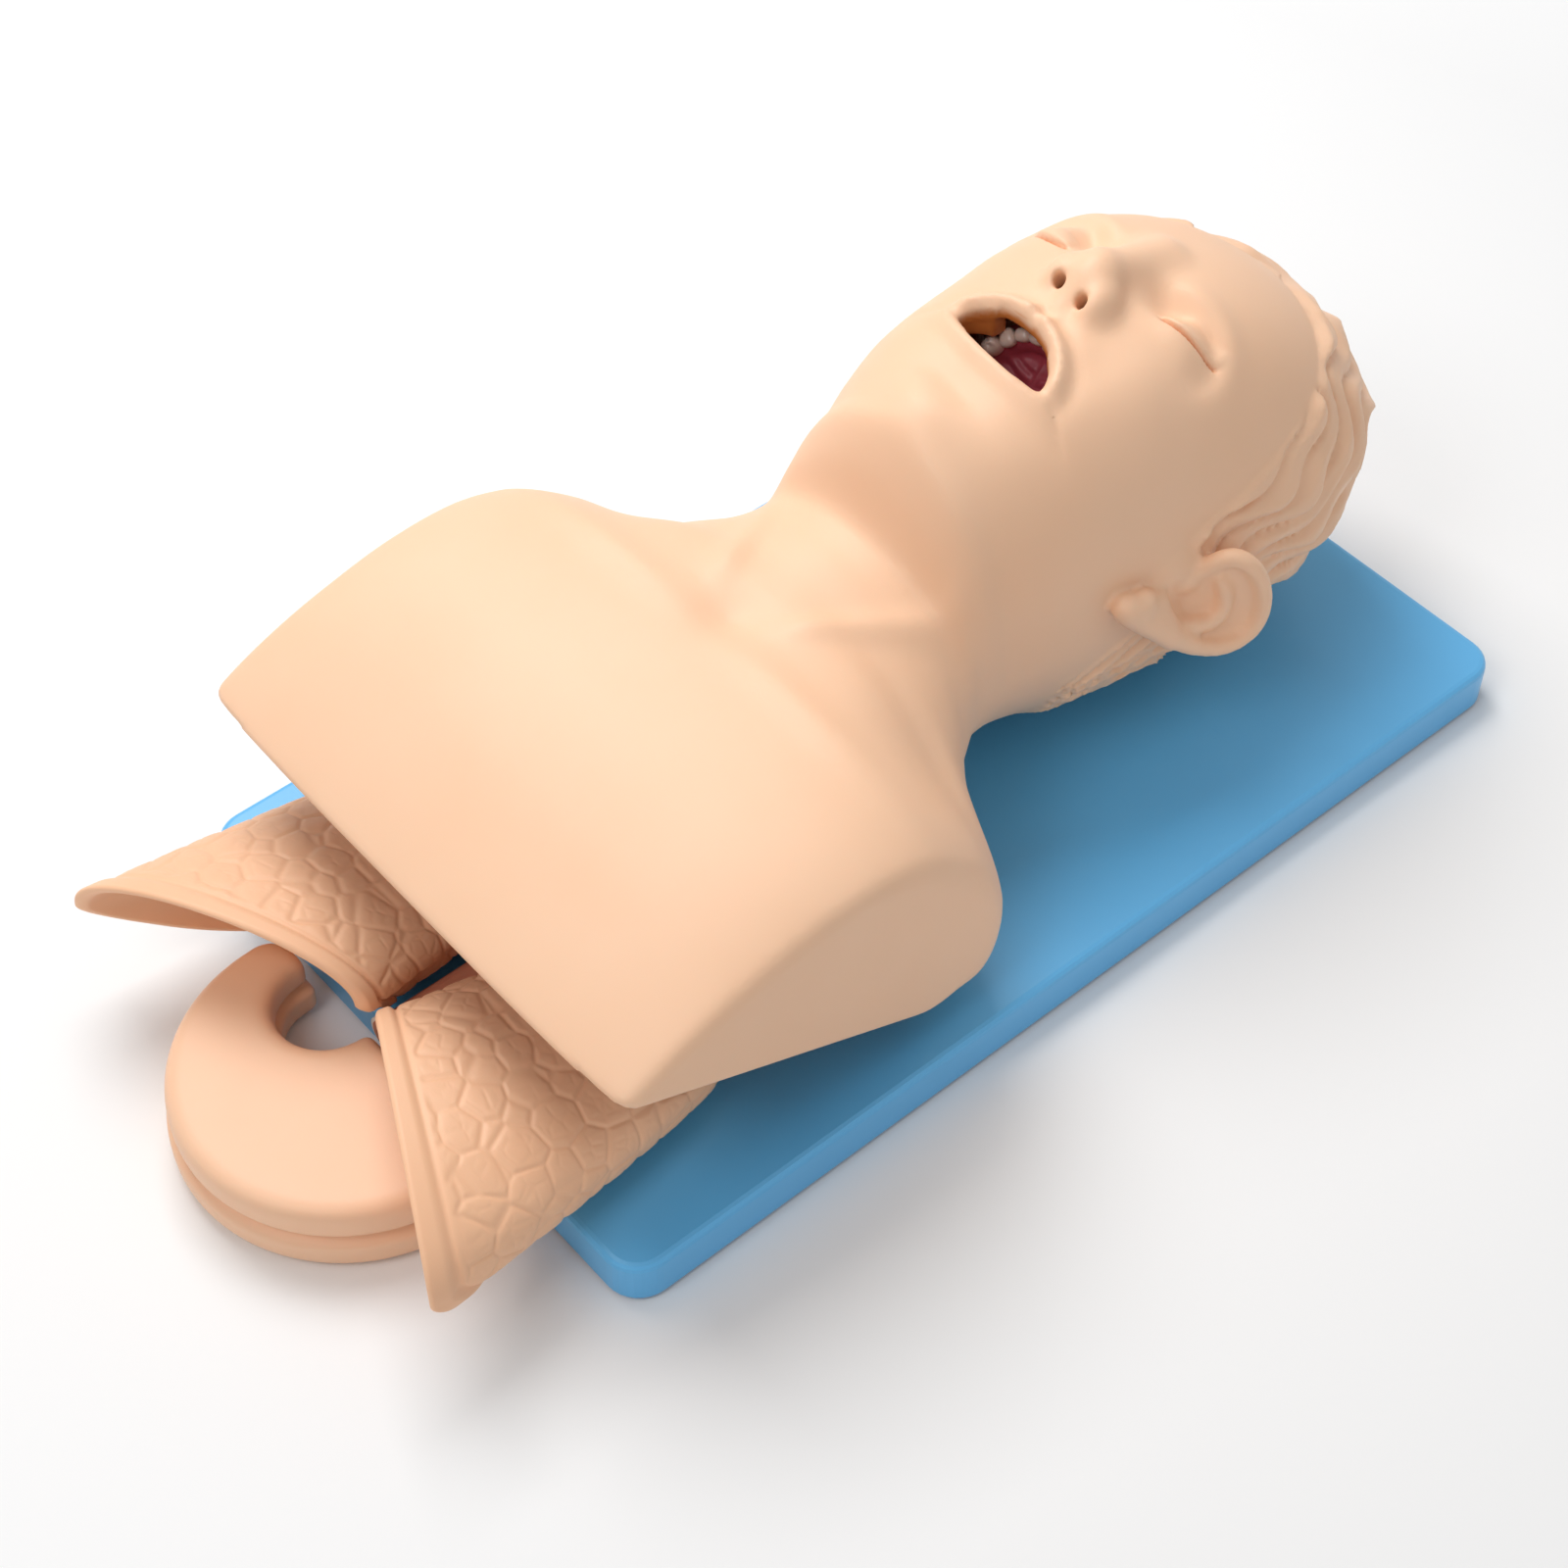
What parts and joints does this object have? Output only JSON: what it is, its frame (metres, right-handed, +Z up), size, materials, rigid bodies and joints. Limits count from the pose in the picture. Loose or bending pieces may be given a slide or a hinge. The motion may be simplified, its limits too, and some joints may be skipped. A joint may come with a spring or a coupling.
{
  "type": "intubation training manikin",
  "caption": "Head and torso trainer lying on a flat board, mouth open for a breathing tube, with jaws, throat and windpipe inside and lungs and stomach outside.",
  "frame": {"origin": "middle of the pad under the centre of the board, on the table", "axes": "+Y towards the crown of the head, +X towards the manikin's left, +Z up out of the board"},
  "size_m": [0.282, 0.5881, 0.2237],
  "materials": {
    "board_plastic": "satin injection moulded",
    "foot_rubber": "matt moulded",
    "steel": "turned",
    "skin_vinyl": "matt soft vinyl",
    "frame_plastic": "moulded",
    "palate_vinyl": "satin soft vinyl",
    "teeth": "polished",
    "gum_vinyl": "satin soft vinyl",
    "tongue_vinyl": "satin soft vinyl",
    "airway_vinyl": "satin soft vinyl",
    "cord_vinyl": "satin"
  },
  "bodies": {
    "manikin": {"base_board": "board_plastic", "rubber_feet": "foot_rubber", "foot_screws": "steel", "body_skin": "skin_vinyl", "skull_frame": "frame_plastic", "skull_screws": "steel", "upper_jaw": "palate_vinyl", "upper_teeth": "teeth", "jaw_pins": "steel", "nasal_passages": "airway_vinyl", "throat": "palate_vinyl", "epiglottis": "airway_vinyl", "larynx": "airway_vinyl", "vocal_cords": "cord_vinyl", "windpipe": "airway_vinyl", "gullet": "airway_vinyl", "bronchial_fork": "airway_vinyl", "hose_clips": "steel", "tube_stand": "frame_plastic", "stand_screws": "steel", "neck_cradle": "frame_plastic", "cradle_screws": "steel", "left_lung": "skin_vinyl", "right_lung": "skin_vinyl", "lung_collars": "cord_vinyl", "stomach": "skin_vinyl", "stomach_collar": "cord_vinyl"},
    "jaw": {"lower_jaw": "gum_vinyl", "lower_teeth": "teeth", "tongue": "tongue_vinyl"}
  },
  "joints": [
    {"name": "jaw_hinge", "type": "hinge", "parent": "manikin", "child": "jaw", "pos_m": [0, 0.09144, 0.118], "axis": [1, 0, 0], "range_deg": [-12, 0]}
  ]
}
